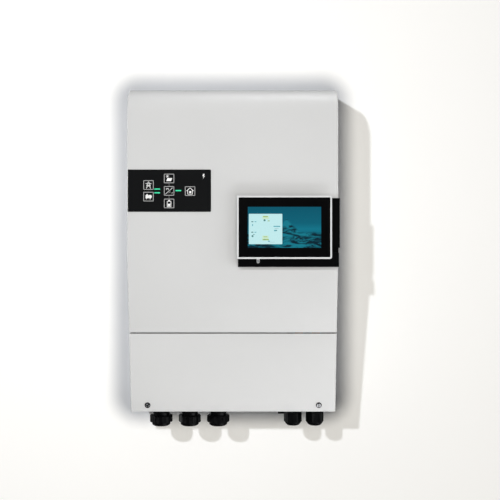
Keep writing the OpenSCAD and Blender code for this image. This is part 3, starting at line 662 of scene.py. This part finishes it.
def upper_cover():
    """Folded upper cover with the row of air slots in its top."""
    middles = [i * SLOT_PITCH for i in range(-SLOTS_EACH_SIDE, SLOTS_EACH_SIDE + 1)]
    edge = HALF_W - EDGE_R
    columns = sorted({-edge, edge, *(x - SLOT_HALF for x in middles),
                      *(x + SLOT_HALF for x in middles)})
    bm = upper_surface(side_path(UPPER_Z0 - 6, WALL_GAP - SKIRT), columns)
    cut(bm, to_world(0, 0, UPPER_Z0), (0, 0, -1))
    cut(bm, to_world(0, WALL_GAP, 0), (0, 1, 0))

    def in_slot(x, u, z):
        off_middle = abs((x + SLOT_PITCH / 2) % SLOT_PITCH - SLOT_PITCH / 2)
        in_row = SLOT_U0 < u < SLOT_U1 and abs(x) < middles[-1] + SLOT_HALF
        return z > CORNER_Z and in_row and off_middle < SLOT_HALF

    drop_faces(bm, in_slot)
    piece("upper_cover_shell", bm, MAT["white"], "case", ["upper_cover"],
          bevel=0.3, bevel_deg=60, thickness=COVER_T)


def lower_cover():
    """Folded lower cover, open at the top and bottom."""
    lean_n = (math.cos(LEAN), -math.sin(LEAN))
    zs = [BOTTOM_Z - 6, -330.0, -280.0, -230.0, LOWER_Z1 + 6]
    path = [(face_u(z), z, lean_n) for z in zs]
    edge = HALF_W - EDGE_R
    bm = lower_surface(path, [-edge, -150, -75, 0, 75, 150, edge])
    cut(bm, to_world(0, 0, BOTTOM_Z), (0, 0, -1))
    cut(bm, to_world(0, 0, LOWER_Z1), (0, 0, 1))
    cut(bm, to_world(0, WALL_GAP, 0), (0, 1, 0))
    piece("lower_cover_shell", bm, MAT["white"], "lower_cover", ["lower_cover"],
          bevel=0.3, bevel_deg=60, thickness=COVER_T)


# ------------------------------------------------------------------ status panel


def ink_piece(name, shapes, u, material, body, depth=0.08):
    """Printed shapes, each a convex outline of (x, z) points, as one thin raised layer."""
    bm = bmesh.new()
    for outline in shapes:
        area = sum(a[0] * b[1] - b[0] * a[1] for a, b in zip(outline, outline[1:] + outline[:1]))
        points = outline if area > 0 else list(reversed(outline))
        front = [bm.verts.new(to_world(x, u + depth, z)) for x, z in points]
        back = [bm.verts.new(to_world(x, u - 0.02, z)) for x, z in points]
        bm.faces.new(front)
        bm.faces.new(list(reversed(back)))
        for i in range(len(points)):
            j = (i + 1) % len(points)
            bm.faces.new((back[i], back[j], front[j], front[i]))
    bmesh.ops.recalc_face_normals(bm, faces=bm.faces)
    obj = mesh_object(name, bm, material)
    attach(obj, body)


def moved(shapes, dx, dz, scale=1.0):
    """The shapes scaled about their origin, then shifted."""
    return [[(x * scale + dx, z * scale + dz) for x, z in s] for s in shapes]


def disc(cx, cz, r, steps=20):
    """Outline of a circle."""
    return [(cx + r * math.cos(2 * math.pi * i / steps), cz + r * math.sin(2 * math.pi * i / steps))
            for i in range(steps)]


def icon_frame(w=21.6, h=19.8, line=1.15):
    """The square outline round each symbol."""
    x, z = w / 2 - line / 2, h / 2 - line / 2
    return polyline_stroke([(-x, -z), (x, -z), (x, z), (-x, z)], line, True)


def icon_sun_panel():
    """A tilted solar module under a small sun."""
    module = [[(-6.0, -5.6), (4.2, -5.6), (6.8, 0.8), (-3.4, 0.8)]]
    rays = []
    for k in range(8):
        a = math.pi / 4 * k
        rays += polyline_stroke([(-3.6 + 2.0 * math.cos(a), 4.6 + 2.0 * math.sin(a)),
                                 (-3.6 + 3.1 * math.cos(a), 4.6 + 3.1 * math.sin(a))], 0.6)
    return module + rays + [disc(-3.6, 4.6, 1.4)]


def icon_pylon():
    """A lattice mast with two cross arms."""
    legs = polyline_stroke([(-4.2, -7.0), (-0.8, 6.6), (0.8, 6.6), (4.2, -7.0)], 1.1)
    arms = polyline_stroke([(-5.6, 3.2), (5.6, 3.2)], 1.1)
    arms += polyline_stroke([(-4.4, -0.4), (4.4, -0.4)], 1.1)
    brace = polyline_stroke([(-3.4, -4.6), (2.2, -0.4)], 0.8)
    brace += polyline_stroke([(3.4, -4.6), (-2.2, -0.4)], 0.8)
    return legs + arms + brace


def icon_generator():
    """An engine block with a round end bell on feet."""
    block = [[(-6.2, -3.4), (0.6, -3.4), (0.6, 3.0), (-6.2, 3.0)]]
    feet = [[(-5.2, -5.4), (-3.4, -5.4), (-3.4, -3.4), (-5.2, -3.4)],
            [(2.6, -5.4), (4.4, -5.4), (4.4, -3.0), (2.6, -3.0)]]
    return block + feet + [disc(3.4, 0.0, 3.7), [(-4.6, 3.0), (-1.4, 3.0), (-1.4, 5.2), (-4.6, 5.2)]]


def icon_inverter():
    """A direct-current mark over an alternating-current wave."""
    bars = [[(-6.6, 4.4), (-0.6, 4.4), (-0.6, 5.5), (-6.6, 5.5)],
            [(-6.6, 2.2), (-4.9, 2.2), (-4.9, 3.3), (-6.6, 3.3)],
            [(-2.3, 2.2), (-0.6, 2.2), (-0.6, 3.3), (-2.3, 3.3)]]
    wave = [(0.4 + i * 0.5, -3.6 + 2.1 * math.sin(i * math.pi / 6.5)) for i in range(14)]
    slash = polyline_stroke([(-7.6, -6.8), (7.6, 6.8)], 0.8)
    return bars + slash + polyline_stroke(wave, 1.1)


def icon_battery():
    """A battery standing on end, half full."""
    shell = polyline_stroke([(-4.0, -7.0), (4.0, -7.0), (4.0, 4.6), (-4.0, 4.6)], 1.3, True)
    return shell + [[(-1.8, 5.2), (1.8, 5.2), (1.8, 7.4), (-1.8, 7.4)],
                    [(-2.5, -5.5), (2.5, -5.5), (2.5, -0.8), (-2.5, -0.8)]]


def icon_house():
    """A house with a pitched roof and a lit window."""
    roof = polyline_stroke([(-7.0, 0.6), (0.0, 7.0), (7.0, 0.6)], 1.3)
    wall = polyline_stroke([(-5.0, 1.0), (-5.0, -6.6), (5.0, -6.6), (5.0, 1.0)], 1.2)
    return roof + wall + [[(-1.6, -4.6), (2.6, -4.6), (2.6, 0.2), (-1.6, 0.2)]]


def icon_bolt():
    """A plain lightning flash."""
    return [[(-1.2, 7.0), (3.4, 7.0), (0.8, 1.2), (-3.0, 0.2)],
            [(-0.2, 1.8), (3.8, 1.2), (-1.6, -7.2), (0.0, -0.6)]]


def status_panel():
    """Dark printed film with six framed symbols, flow lines and three lamp windows."""
    front = DEPTH_TOP + 1.0
    bm = bmesh.new()
    outline = round_outline(STATUS_X, STATUS_Z, STATUS_W, STATUS_H, (1.0, 2.4, 2.4, 1.0))
    add_prism(bm, outline, DEPTH_TOP, front)
    piece("status_film", bm, MAT["film"], "case", ["led_panel"], bevel=0.25,
          bevel_deg=50)
    icons = [(icon_sun_panel, -0.7, 26.0), (icon_pylon, -44.5, 12.1),
             (icon_generator, -44.5, -12.6), (icon_inverter, -0.7, -0.4),
             (icon_battery, -0.7, -27.1), (icon_house, 43.9, -0.9)]
    boxes, glyphs = [], []
    for make, dx, dz in icons:
        boxes += moved(icon_frame(), STATUS_X + dx, STATUS_Z + dz)
        glyphs += moved(make(), STATUS_X + dx, STATUS_Z + dz)
    glyphs += moved(icon_bolt(), STATUS_X + 72.5, STATUS_Z + 30.5, 0.75)
    ink_piece("status_icons", glyphs, front, MAT["ink"], "case")
    ink_piece("status_boxes", boxes, front, MAT["ink_box"], "case")
    lines = []
    for z0, z1 in ((9.8, 15.8), (-10.6, -16.9)):
        lines += polyline_stroke([(-0.7, z0), (-0.7, z1)], 0.8)
    ink_piece("status_lines", moved(lines, STATUS_X, STATUS_Z), front, MAT["ink_dim"],
              "case")
    lamps = []
    for dx, dz in ((-26.0, 3.5), (-26.0, -4.5), (18.9, 0.2)):
        lamps.append(round_outline(STATUS_X + dx, STATUS_Z + dz, 12.4, 2.5, (1.0,) * 4, 5))
    ink_piece("status_lamps", lamps, front, MAT["lamp"], "case", 0.12)


# ------------------------------------------------------------------ display


def display_frame():
    """Bevelled silver rim with a locking tab under its lower edge."""
    outer = round_outline(GLASS_X, GLASS_Z, FRAME_W, FRAME_H, (1.6, 4.4, 4.4, 1.6))
    inner = round_outline(GLASS_X, GLASS_Z, GLASS_W, GLASS_H, (0.8, 1.8, 1.8, 0.8))
    bm = bmesh.new()
    loops = []
    for points, u in ((outer, FRAME_U0), (outer, FRAME_U1), (inner, FRAME_U1), (inner, FRAME_U0)):
        loops.append([bm.verts.new(to_world(x, u, z)) for x, z in points])
    bridge(bm, loops)
    piece("display_rim", bm, MAT["silver"], "display", ["display_frame"],
          bevel=0.8, segments=3, bevel_deg=60)
    bm = bmesh.new()
    outline = round_outline(TAB_X, (TAB_Z0 + TAB_Z1) / 2, TAB_W, TAB_Z1 - TAB_Z0,
                            (3.0, 3.0, 0.4, 0.4))
    add_prism(bm, outline, FRAME_U0, FRAME_U0 + TAB_T)
    piece("display_tab", bm, MAT["silver"], "display", bevel=0.3)


def display_glass():
    """Black cover glass with the lit picture, its card and the card's marks on it."""
    bm = bmesh.new()
    outline = round_outline(GLASS_X, GLASS_Z, GLASS_W, GLASS_H, (0.7, 1.7, 1.7, 0.7))
    add_prism(bm, outline, FRAME_U0 + 1.0, FRAME_U1 - 0.5)
    piece("display_glass_sheet", bm, MAT["glass"], "display", ["display_glass"],
          bevel=0.2)
    front = FRAME_U1 - 0.5
    area = [round_outline(GLASS_X, GLASS_Z, SCREEN_W, SCREEN_H, (0.4,) * 4, 2)]
    ink_piece("screen_picture", area, front, MAT["screen"], "display", 0.04)
    left, top = GLASS_X - SCREEN_W / 2, GLASS_Z + SCREEN_H / 2

    def at(fx, fz):
        return left + fx * SCREEN_W, top - fz * SCREEN_H

    x0, z1 = at(0.014, 0.171)
    x1, z0 = at(0.470, 0.911)
    card = [round_outline((x0 + x1) / 2, (z0 + z1) / 2, x1 - x0, z1 - z0, (1.2,) * 4, 4)]
    ink_piece("screen_card", card, front, MAT["card"], "display", 0.08)
    marks = {"mark_lime": [], "mark_grey": [], "mark_green": [], "mark_dark": [], "mark_blue": []}

    def bar(kind, fx, fz, w, h=1.6):
        cx, cz = at(fx, fz)
        marks[kind].append(round_outline(cx, cz, w, h, (0.4,) * 4, 2))

    def dot(kind, fx, fz, r):
        cx, cz = at(fx, fz)
        marks[kind].append(disc(cx, cz, r))

    bar("mark_lime", 0.244, 0.262, 14.0, 7.0)
    bar("mark_green", 0.240, 0.240, 10.0, 2.2)
    dot("mark_dark", 0.228, 0.328, 2.3)
    bar("mark_green", 0.284, 0.343, 4.0, 1.9)
    for row in (0.364, 0.620):
        bar("mark_dark", 0.062, row, 4.4, 2.1)
        bar("mark_blue", 0.104, row, 4.0, 1.6)
    bar("mark_blue", 0.064, 0.445, 1.8, 4.2)
    dot("mark_dark", 0.064, 0.715, 2.2)
    bar("mark_dark", 0.082, 0.676, 3.6, 1.3)
    bar("mark_blue", 0.396, 0.478, 14.0, 2.2)
    bar("mark_grey", 0.392, 0.530, 9.0, 1.2)
    bar("mark_blue", 0.374, 0.580, 5.0, 2.8)
    bar("mark_dark", 0.390, 0.576, 2.6, 2.2)
    bar("mark_lime", 0.240, 0.762, 13.0, 10.0)
    bar("mark_green", 0.240, 0.732, 8.0, 1.4)
    bar("mark_green", 0.244, 0.800, 13.0, 2.4)
    bar("mark_dark", 0.232, 0.798, 4.0, 1.8)
    bar("mark_blue", 0.288, 0.838, 4.0, 2.0)
    bar("mark_grey", 0.330, 0.862, 12.0, 1.0)
    for kind, shapes in marks.items():
        rise = 0.10 if kind == "mark_lime" else 0.13
        ink_piece("screen_" + kind, shapes, front, MAT[kind], "display", rise)


# ------------------------------------------------------------------ glands and screws


def gland_nut(index, x, size, turn):
    """Cap nut: a hexagon with grip ribs beside its corners, over a round nose."""
    flats, z_top, z_knee, nose_r, z_nose, z_tip, tip_r, mouth_r, cavity_r = size
    steps = 180
    reach = flats / 2 / math.cos(math.pi / 6)
    rib_at, rib_half, rib_depth, rib_waves, lip = 0.20, 0.13, 0.5, 60, 3.4

    def hex_radius(a, z):
        local = (a - math.radians(turn) + math.pi / 6) % (math.pi / 3) - math.pi / 6
        flat = min(flats / 2 / math.cos(math.pi / 6 - abs(local)), reach - 0.45)
        if z > z_top - 1.0:
            flat = min(flat, reach - 0.45 - (z - z_top + 1.0) * 1.2)
        if z < z_knee + 1.4:
            flat = min(flat, reach - 0.2 - (z_knee + 1.4 - z) * 1.1)
        near_corner = abs(abs(local) - rib_at) < rib_half
        ribbed = near_corner and abs(z - z_top) > 1
        return flat - (rib_depth * max(0.0, math.cos(local * rib_waves)) if ribbed else 0.0)

    def nose_radius(z):
        t = max(0.0, (z_nose - z) / (z_nose - z_tip))
        return nose_r - (nose_r - tip_r) * t ** 1.3

    def ring(radius_at, z):
        return [(radius_at(2 * math.pi * i / steps), z) for i in range(steps)]

    heights = [z_top, z_top - 0.5, z_top - 1.0, z_top - 2.2, z_knee + 2.4, z_knee + 1.4,
               z_knee + 0.7, z_knee]
    rings = [ring(lambda a, z=z: hex_radius(a, z), z) for z in heights]
    for z in [z_knee - 0.01, z_nose, *(z_nose + (z_tip - z_nose) * k / 5 for k in range(1, 6))]:
        rings.append(ring(lambda a, z=z: nose_radius(z), z))
    for r, z in ((mouth_r, z_tip), (mouth_r, z_tip + lip), (cavity_r, z_tip + lip),
                 (cavity_r, z_top)):
        rings.append(ring(lambda a, r=r: r, z))
    bm = bmesh.new()
    made = []
    for points in rings:
        made.append([bm.verts.new(Vector(((x + r * math.cos(2 * math.pi * i / steps)) * MM,
                                          (-GLAND_U + r * math.sin(2 * math.pi * i / steps)) * MM,
                                          z * MM))) for i, (r, z) in enumerate(points)])
    bridge(bm, made)
    node = f"gland_nut_{index}"
    piece(f"gland_cap_{index}", bm, MAT["black"], node, [node], sharp_deg=24)


def gland_nuts():
    """Three large cap nuts at the left and two small ones at the right."""
    # Across flats, top, shoulder, nose radius, nose edge, tip, tip, mouth and cavity radius
    big = (44.0, -378.8, -394.5, 20.2, -398.9, -401.8, 16.6, 14.5, 18.7)
    small = (35.5, -371.8, -394.0, 17.4, -396.0, -401.0, 12.6, 11.0, 14.9)
    for i, turn in enumerate((4, -6, 5)):
        gland_nut(i + 1, BIG_GLAND_X + BIG_GLAND_PITCH * i, big, turn)
    for i, turn in enumerate((-5, 6)):
        gland_nut(i + 4, SMALL_GLAND_X + SMALL_GLAND_PITCH * i, small, turn)


def lock_screw(side, turn):
    """Button head: a bright dished centre, with black drive marks and a black outer ring as painted
    shade of recesses.
    """
    name = "cover_screw_left" if side < 0 else "cover_screw_right"
    out = Vector((0, -math.cos(LEAN), -math.sin(LEAN)))
    origin = to_world(side * LOCK_X, face_u(LOCK_Z), LOCK_Z)
    profile = [(0.0, -13.0), (2.6, -13.0), (2.95, -12.6), (2.95, 0.06), (4.5, 0.06), (4.5, 1.95),
               (4.0, 2.02), (1.9, 1.86), (0.0, 1.8)]
    bm = bmesh.new()
    add_turned(bm, profile, origin, out, 64)
    piece(name + "_head", bm, MAT["nickel"], name, [name], sharp_deg=40)
    # Black ring round the head: painted shade standing in for the recess round the head
    rim = [(4.45, 0.08), (6.25, 0.08), (6.25, 1.2), (6.0, 1.8), (5.3, 2.3), (4.75, 2.38),
           (4.45, 2.1)]
    bm = bmesh.new()
    add_turned(bm, rim, origin, out, 64)
    piece(name + "_rim", bm, MAT["black"], name, sharp_deg=40)
    # Black raised bars: painted shade standing in for the drive recesses in the head
    bm = bmesh.new()
    right = Vector((math.cos(math.radians(turn)), 0, 0)) + Vector(
        (0, -math.sin(LEAN), math.cos(LEAN))) * math.sin(math.radians(turn))
    spokes = (0.0,) if side > 0 else (0.0, 120.0, 240.0)
    for spoke in spokes:
        d = Matrix.Rotation(math.radians(spoke), 3, out) @ right
        c = out.cross(d)
        start = -4.6 if side > 0 else 0.0
        corners = []
        for h in (1.7, 2.2):
            for along, wide in ((start, -0.8), (4.6, -0.8), (4.6, 0.8), (start, 0.8)):
                corners.append(bm.verts.new(origin + (d * along + c * wide + out * h) * MM))
        lo, hi = corners[:4], corners[4:]
        bm.faces.new(hi)
        bm.faces.new(list(reversed(lo)))
        for i in range(4):
            j = (i + 1) % 4
            bm.faces.new((lo[i], lo[j], hi[j], hi[i]))
    bmesh.ops.recalc_face_normals(bm, faces=bm.faces)
    piece(name + "_mark", bm, MAT["black"], name)


# ------------------------------------------------------------------ carried-over CAD nodes

FINISHES = {
    "zinc": ["chassis", "gland_plate"],
    "zinc_plate": ["wall_plate", "hanger_rails"],
    "grey_panel": ["partition"],
    "rubber": ["wall_buffers", "cover_gasket", "gland_seals", "signal_grommets"],
    "screw": ["upper_cover_screws", "hinge_pins", "fan_guards", "battery_bolts", "clamp_screws",
              "display_screw"],
    "aluminium": ["heat_sink"],
    "black": ["gland_bodies_m40", "gland_bodies_m32", "gland_locknuts", "signal_entry",
              "display_housing", "battery_block", "comm_jacks", "gland_nut_1", "gland_nut_2",
              "gland_nut_3", "gland_nut_4", "gland_nut_5", "cover_screw_left",
              "cover_screw_right"],
    "black_coat": ["display_bracket"],
    "dark": ["fan_frames", "fan_impeller_1", "fan_impeller_2", "fan_impeller_3",
             "power_modules", "transformers", "relays", "control_parts", "screw_retainers"],
    "sleeve": ["dc_capacitors"],
    "winding": ["filter_chokes"],
    "board": ["power_board", "control_board", "led_board", "comm_board", "display_board"],
    "nylon": ["board_spacers"],
    "guide": ["led_lamps"],
    "copper": ["dc_busbars"],
    "brass": ["earth_bar"],
    "grey": ["ac_terminals", "display_lcd"],
    "orange": ["pv_terminals"],
    "nickel": ["bracket_screws"],
    "white": ["upper_cover", "lower_cover"],
    "film": ["led_panel"],
    "silver": ["display_frame"],
    "glass": ["display_glass"],
}
EDGES = {"display_bracket": 0.6, "signal_entry": 0.5,
         "gland_bodies_m40": 0.4, "gland_bodies_m32": 0.4, "bracket_screws": 0.3,
         "upper_cover_screws": 0.3, "display_screw": 0.25, "display_housing": 0.6,
         "ac_terminals": 0.3, "pv_terminals": 0.3, "battery_block": 0.4, "heat_sink": 0.3}


def finish_cad_nodes():
    """Gives every CAD node its material, and the ones in EDGES a small bevel."""
    for key, names in FINISHES.items():
        for name in names:
            obj = NODES[name]
            obj.data.materials.clear()
            obj.data.materials.append(MAT[key])
            if name in EDGES:
                weld = obj.modifiers.new("weld", "WELD")
                weld.merge_threshold = 1e-6
                edge = obj.modifiers.new("edge", "BEVEL")
                edge.width, edge.segments = EDGES[name] * MM, 2
                edge.limit_method, edge.angle_limit = "ANGLE", math.radians(40)
                even = obj.modifiers.new("even", "WEIGHTED_NORMAL")
                even.mode, even.keep_sharp = "FACE_AREA", True


# ------------------------------------------------------------------ stage, light, camera


def pale_paint(name, colour, one_sided=False, glow=0.0):
    """Matt studio paint; one-sided paint lets a view from behind the sheet through."""
    n = Nodes(name)
    cloud = n.noise(0.7, 3.0)
    n.colour(n.blend(n.span(cloud, 0.0, 1.0), tinted(colour, -0.01), tinted(colour, 0.01)))
    n.set(Roughness=0.95, Specular_IOR_Level=0.05, Emission_Color=(*colour, 1.0),
          Emission_Strength=glow)
    if one_sided:
        through = n.add("ShaderNodeBsdfTransparent")
        pick = n.add("ShaderNodeMixShader")
        n.link(n.add("ShaderNodeNewGeometry").outputs["Backfacing"], pick.inputs[0])
        n.link(n.shader.outputs[0], pick.inputs[1])
        n.link(through.outputs[0], pick.inputs[2])
        out = next(t for t in n.tree.nodes if t.type == "OUTPUT_MATERIAL")
        n.link(pick.outputs[0], out.inputs[0])
    return n.material


def backdrop(name, corners, material):
    """A flat sheet of the studio, which is not part of the object."""
    bm = bmesh.new()
    bm.faces.new([bm.verts.new(c) for c in corners])
    obj = mesh_object(name, bm, material)
    return obj


def stage():
    """Pale floor, the plain wall the case hangs on, and a card that shades the wall."""
    wide, deep, high, floor_z, wall_y = 6.0, 8.0, 3.0, -1.6, 0.0003
    floor = backdrop("floor", [(-wide, deep, floor_z), (-wide, -deep, floor_z),
                               (wide, -deep, floor_z), (wide, deep, floor_z)],
                     pale_paint("floor_paint", (0.80, 0.80, 0.79), glow=0.6))
    floor.visible_diffuse = floor.visible_glossy = False
    wall = backdrop("wall", [(-wide, wall_y, floor_z), (wide, wall_y, floor_z),
                             (wide, wall_y, high), (-wide, wall_y, high)],
                    pale_paint("wall_paint", (0.99, 0.99, 0.99), one_sided=True))
    wall.visible_diffuse = wall.visible_glossy = False
    wall.visible_transmission = wall.visible_shadow = False
    # The card, unseen by the camera, deepens the soft shadow round the case
    left, right, low, top = -HALF_W - 62, HALF_W + 44, BOTTOM_Z - 48, TOP_Z + 36
    flag_u, flag_r = 90, 60
    outline = round_outline((left + right) / 2, (low + top) / 2, right - left, top - low,
                            (flag_r,) * 4)
    flag = backdrop("flag", [to_world(px, flag_u, pz) for px, pz in outline],
                    pale_paint("flag_cloth", (0.02, 0.02, 0.02)))
    flag.visible_camera = flag.visible_diffuse = False
    flag.visible_glossy = flag.visible_transmission = False
    return wall, floor, flag


def leave_out(name, objs):
    """Collection that light linking reads as everything but objs."""
    group = bpy.data.collections.new(name)
    for obj in objs:
        group.objects.link(obj)
    for entry in group.collection_objects:
        entry.light_linking.link_state = "EXCLUDE"
    return group


def area_light(name, place, target, size, level, colour):
    """Round light that gives a white matt surface at its target, facing it, this level."""
    data = bpy.data.lights.new(name, "AREA")
    data.shape, data.size = "DISK", size
    gap = Vector(target) - Vector(place)
    data.energy, data.color = level * math.pi ** 2 * gap.length_squared, colour
    obj = new_object(name, data)
    obj.location = place
    obj.rotation_euler = gap.to_track_quat("-Z", "Y").to_euler()
    return obj


def lights(wall, floor, flag):
    """World glow, front and key light, and fills that light only the object."""
    world = bpy.data.worlds.new("studio")
    bpy.context.scene.world = world
    world.use_nodes = True
    tree = world.node_tree
    glow = tree.nodes["Background"]
    glow.inputs["Color"].default_value = (1.0, 1.0, 1.0, 1.0)
    glow.inputs["Strength"].default_value = 0.10
    seen = tree.nodes.new("ShaderNodeBackground")
    seen.inputs["Color"].default_value = (1.0, 1.0, 1.0, 1.0)
    seen.inputs["Strength"].default_value = 1.0
    pick = tree.nodes.new("ShaderNodeMixShader")
    ray = tree.nodes.new("ShaderNodeLightPath")
    tree.links.new(ray.outputs["Is Camera Ray"], pick.inputs[0])
    tree.links.new(glow.outputs[0], pick.inputs[1])
    tree.links.new(seen.outputs[0], pick.inputs[2])
    tree.links.new(pick.outputs[0], tree.nodes["World Output"].inputs[0])

    middle = (0.0, -0.1, 0.0)
    no_flag = leave_out("no_flag", [flag])
    object_only = leave_out("object_only", [wall, floor])
    no_glare = leave_out("no_glare", [wall, floor, bpy.data.objects["display_glass_sheet"]])
    front = area_light("front", (0.05, -6.1, 0.1), middle, 3.4, 0.66, (1.0, 0.966, 0.89))
    front.visible_glossy = False
    key = area_light("key", (-0.66, -2.175, 0.53), middle, 0.07, 0.46, (0.93, 0.955, 1.0))
    key.visible_glossy = False
    key.light_linking.blocker_collection = no_flag
    # Fills for the top, sides, underside and back, kept off the stage; the one at the right
    # also leaves out the glass, where its reflection would hide the screen
    for name, place, size, level in (
            ("fill_right", (1.7, -1.4, -0.9), 1.8, 0.56), ("fill_left", (-2.6, -0.3, 0.2), 1.6, 0.52),
            ("fill_back", (1.7, 2.2, 0.9), 3.0, 0.46), ("fill_rear", (-1.7, 2.0, 0.3), 3.0, 0.34),
            ("fill_low", (0.3, -1.3, -1.6), 1.0, 0.54), ("fill_top", (0.3, -0.5, 2.4), 1.0, 0.55)):
        fill = area_light(name, place, middle, size, level, (0.97, 0.985, 1.0))
        fill.light_linking.receiver_collection = no_glare if name == "fill_right" else object_only
        fill.light_linking.blocker_collection = no_flag


def camera():
    """Camera straight in front of the wall."""
    data = bpy.data.cameras.new("camera")
    data.sensor_width, data.lens = 36.0, 57.6
    obj = new_object("camera", data)
    obj.location = (0.0369, -1.9304, -0.01065)
    obj.rotation_euler = (math.pi / 2, 0.0, 0.0)
    bpy.context.scene.camera = obj


bpy.context.scene.view_settings.view_transform = "Standard"
finish_cad_nodes()
upper_cover()
lower_cover()
status_panel()
display_frame()
display_glass()
gland_nuts()
lock_screw(-1, 35)
lock_screw(1, 90)
lights(*stage())
camera()
